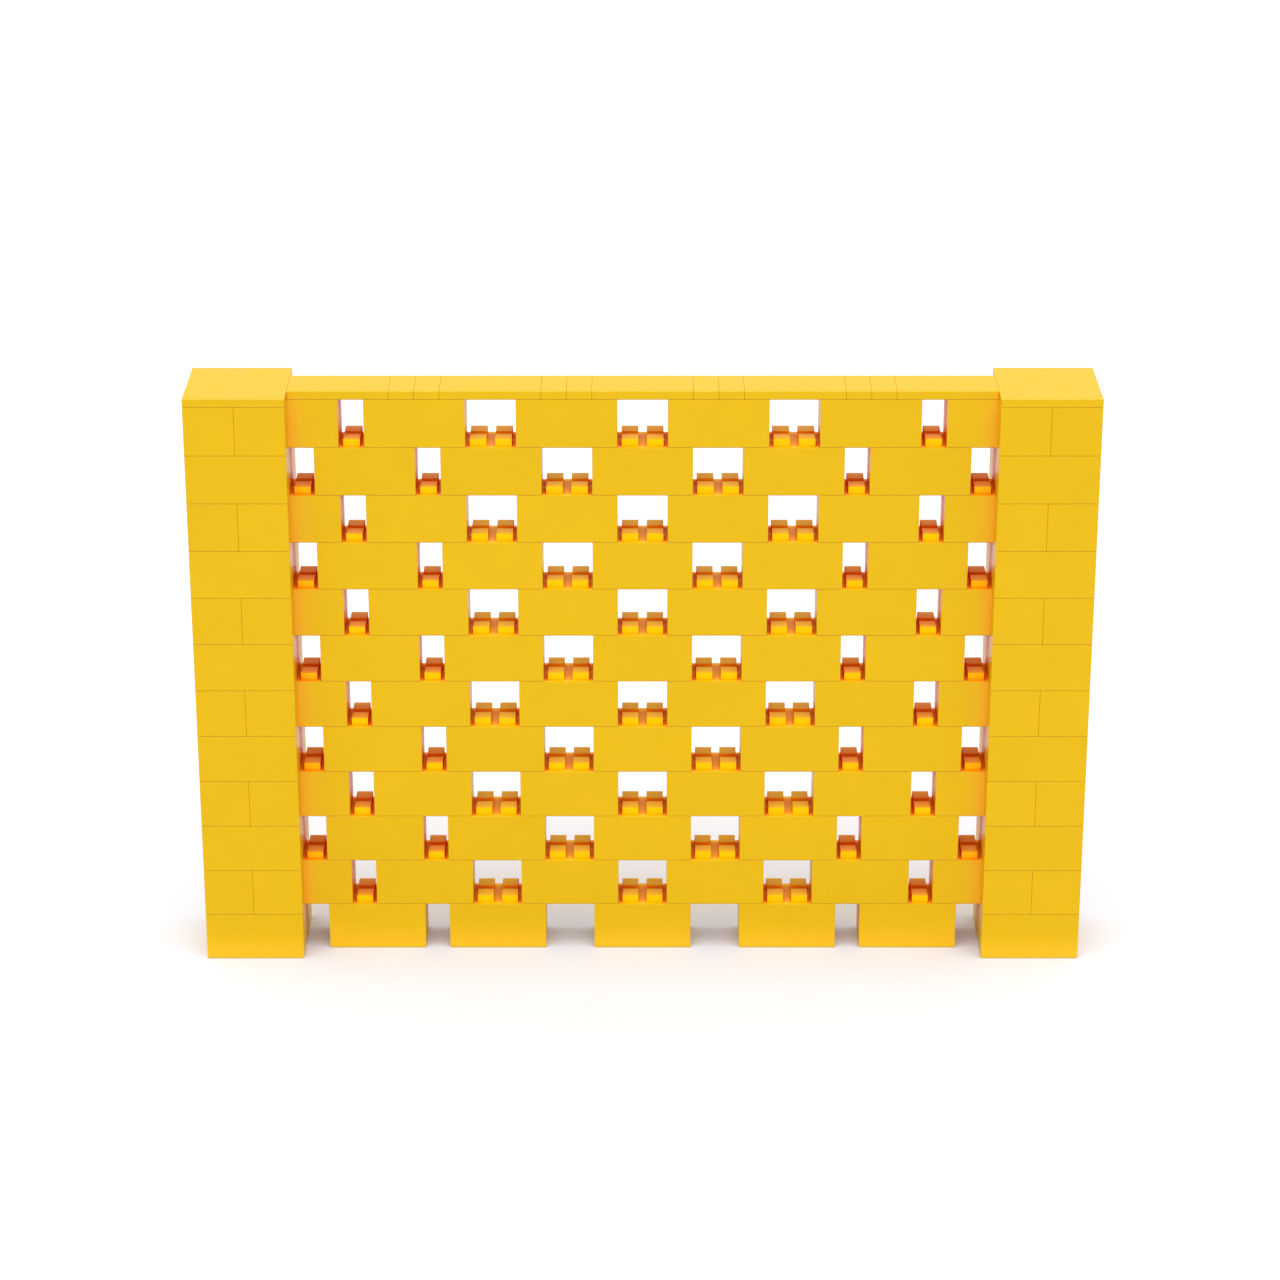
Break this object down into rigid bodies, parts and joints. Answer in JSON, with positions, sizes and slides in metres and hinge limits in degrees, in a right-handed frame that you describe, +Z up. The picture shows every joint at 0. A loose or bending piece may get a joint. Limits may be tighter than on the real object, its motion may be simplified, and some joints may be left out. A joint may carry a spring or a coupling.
{
  "type": "crowd control barrier",
  "caption": "Free-standing crowd barrier: a lattice wall of stacked yellow plastic studded blocks with open windows, keyed into square end towers and closed by smooth lift-off caps.",
  "frame": {"origin": "on the floor, at the middle of the barrier's length and depth", "axes": "+X along the barrier, from the left tower to the right tower; +Y from the front face to the back; +Z up"},
  "size_m": [2.7428, 0.3044, 1.8558],
  "materials": {
    "block_yellow": "injection-moulded polypropylene, fine moulded texture, semi-gloss",
    "cap_yellow": "injection-moulded polypropylene, smooth, semi-gloss"
  },
  "bodies": {
    "course_01": {"left_tower_course_01": "block_yellow", "wall_course_01": "block_yellow", "right_tower_course_01": "block_yellow"},
    "course_02": {"left_tower_course_02": "block_yellow", "wall_course_02": "block_yellow", "right_tower_course_02": "block_yellow"},
    "course_03": {"left_tower_course_03": "block_yellow", "wall_course_03": "block_yellow", "right_tower_course_03": "block_yellow"},
    "course_04": {"left_tower_course_04": "block_yellow", "wall_course_04": "block_yellow", "right_tower_course_04": "block_yellow"},
    "course_05": {"left_tower_course_05": "block_yellow", "wall_course_05": "block_yellow", "right_tower_course_05": "block_yellow"},
    "course_06": {"left_tower_course_06": "block_yellow", "wall_course_06": "block_yellow", "right_tower_course_06": "block_yellow"},
    "course_07": {"left_tower_course_07": "block_yellow", "wall_course_07": "block_yellow", "right_tower_course_07": "block_yellow"},
    "course_08": {"left_tower_course_08": "block_yellow", "wall_course_08": "block_yellow", "right_tower_course_08": "block_yellow"},
    "course_09": {"left_tower_course_09": "block_yellow", "wall_course_09": "block_yellow", "right_tower_course_09": "block_yellow"},
    "course_10": {"left_tower_course_10": "block_yellow", "wall_course_10": "block_yellow", "right_tower_course_10": "block_yellow"},
    "course_11": {"left_tower_course_11": "block_yellow", "wall_course_11": "block_yellow", "right_tower_course_11": "block_yellow"},
    "course_12": {"left_tower_course_12": "block_yellow", "wall_course_12": "block_yellow", "right_tower_course_12": "block_yellow"},
    "left_tower_cap": {"left_tower_cap": "cap_yellow"},
    "right_tower_cap": {"right_tower_cap": "cap_yellow"},
    "full_cap_1": {"full_cap_1": "cap_yellow"},
    "full_cap_2": {"full_cap_2": "cap_yellow"},
    "full_cap_3": {"full_cap_3": "cap_yellow"},
    "full_cap_4": {"full_cap_4": "cap_yellow"},
    "full_cap_5": {"full_cap_5": "cap_yellow"},
    "filler_cap_1": {"filler_cap_1": "cap_yellow"},
    "filler_cap_2": {"filler_cap_2": "cap_yellow"},
    "filler_cap_3": {"filler_cap_3": "cap_yellow"},
    "filler_cap_4": {"filler_cap_4": "cap_yellow"},
    "filler_cap_5": {"filler_cap_5": "cap_yellow"},
    "filler_cap_6": {"filler_cap_6": "cap_yellow"},
    "filler_cap_7": {"filler_cap_7": "cap_yellow"},
    "filler_cap_8": {"filler_cap_8": "cap_yellow"}
  },
  "joints": [
    {"name": "course_02_lift", "type": "slide", "parent": "course_01", "child": "course_02", "axis": [0, 0, 1], "range_m": [0, 0.05]},
    {"name": "course_03_lift", "type": "slide", "parent": "course_02", "child": "course_03", "axis": [0, 0, 1], "range_m": [0, 0.05]},
    {"name": "course_04_lift", "type": "slide", "parent": "course_03", "child": "course_04", "axis": [0, 0, 1], "range_m": [0, 0.05]},
    {"name": "course_05_lift", "type": "slide", "parent": "course_04", "child": "course_05", "axis": [0, 0, 1], "range_m": [0, 0.05]},
    {"name": "course_06_lift", "type": "slide", "parent": "course_05", "child": "course_06", "axis": [0, 0, 1], "range_m": [0, 0.05]},
    {"name": "course_07_lift", "type": "slide", "parent": "course_06", "child": "course_07", "axis": [0, 0, 1], "range_m": [0, 0.05]},
    {"name": "course_08_lift", "type": "slide", "parent": "course_07", "child": "course_08", "axis": [0, 0, 1], "range_m": [0, 0.05]},
    {"name": "course_09_lift", "type": "slide", "parent": "course_08", "child": "course_09", "axis": [0, 0, 1], "range_m": [0, 0.05]},
    {"name": "course_10_lift", "type": "slide", "parent": "course_09", "child": "course_10", "axis": [0, 0, 1], "range_m": [0, 0.05]},
    {"name": "course_11_lift", "type": "slide", "parent": "course_10", "child": "course_11", "axis": [0, 0, 1], "range_m": [0, 0.05]},
    {"name": "course_12_lift", "type": "slide", "parent": "course_11", "child": "course_12", "axis": [0, 0, 1], "range_m": [0, 0.05]},
    {"name": "left_tower_cap_lift", "type": "slide", "parent": "course_12", "child": "left_tower_cap", "axis": [0, 0, 1], "range_m": [0, 0.05]},
    {"name": "right_tower_cap_lift", "type": "slide", "parent": "course_12", "child": "right_tower_cap", "axis": [0, 0, 1], "range_m": [0, 0.05]},
    {"name": "full_cap_1_lift", "type": "slide", "parent": "course_12", "child": "full_cap_1", "axis": [0, 0, 1], "range_m": [0, 0.05]},
    {"name": "full_cap_2_lift", "type": "slide", "parent": "course_12", "child": "full_cap_2", "axis": [0, 0, 1], "range_m": [0, 0.05]},
    {"name": "full_cap_3_lift", "type": "slide", "parent": "course_12", "child": "full_cap_3", "axis": [0, 0, 1], "range_m": [0, 0.05]},
    {"name": "full_cap_4_lift", "type": "slide", "parent": "course_12", "child": "full_cap_4", "axis": [0, 0, 1], "range_m": [0, 0.05]},
    {"name": "full_cap_5_lift", "type": "slide", "parent": "course_12", "child": "full_cap_5", "axis": [0, 0, 1], "range_m": [0, 0.05]},
    {"name": "filler_cap_1_lift", "type": "slide", "parent": "course_12", "child": "filler_cap_1", "axis": [0, 0, 1], "range_m": [0, 0.05]},
    {"name": "filler_cap_2_lift", "type": "slide", "parent": "course_12", "child": "filler_cap_2", "axis": [0, 0, 1], "range_m": [0, 0.05]},
    {"name": "filler_cap_3_lift", "type": "slide", "parent": "course_12", "child": "filler_cap_3", "axis": [0, 0, 1], "range_m": [0, 0.05]},
    {"name": "filler_cap_4_lift", "type": "slide", "parent": "course_12", "child": "filler_cap_4", "axis": [0, 0, 1], "range_m": [0, 0.05]},
    {"name": "filler_cap_5_lift", "type": "slide", "parent": "course_12", "child": "filler_cap_5", "axis": [0, 0, 1], "range_m": [0, 0.05]},
    {"name": "filler_cap_6_lift", "type": "slide", "parent": "course_12", "child": "filler_cap_6", "axis": [0, 0, 1], "range_m": [0, 0.05]},
    {"name": "filler_cap_7_lift", "type": "slide", "parent": "course_12", "child": "filler_cap_7", "axis": [0, 0, 1], "range_m": [0, 0.05]},
    {"name": "filler_cap_8_lift", "type": "slide", "parent": "course_12", "child": "filler_cap_8", "axis": [0, 0, 1], "range_m": [0, 0.05]}
  ]
}
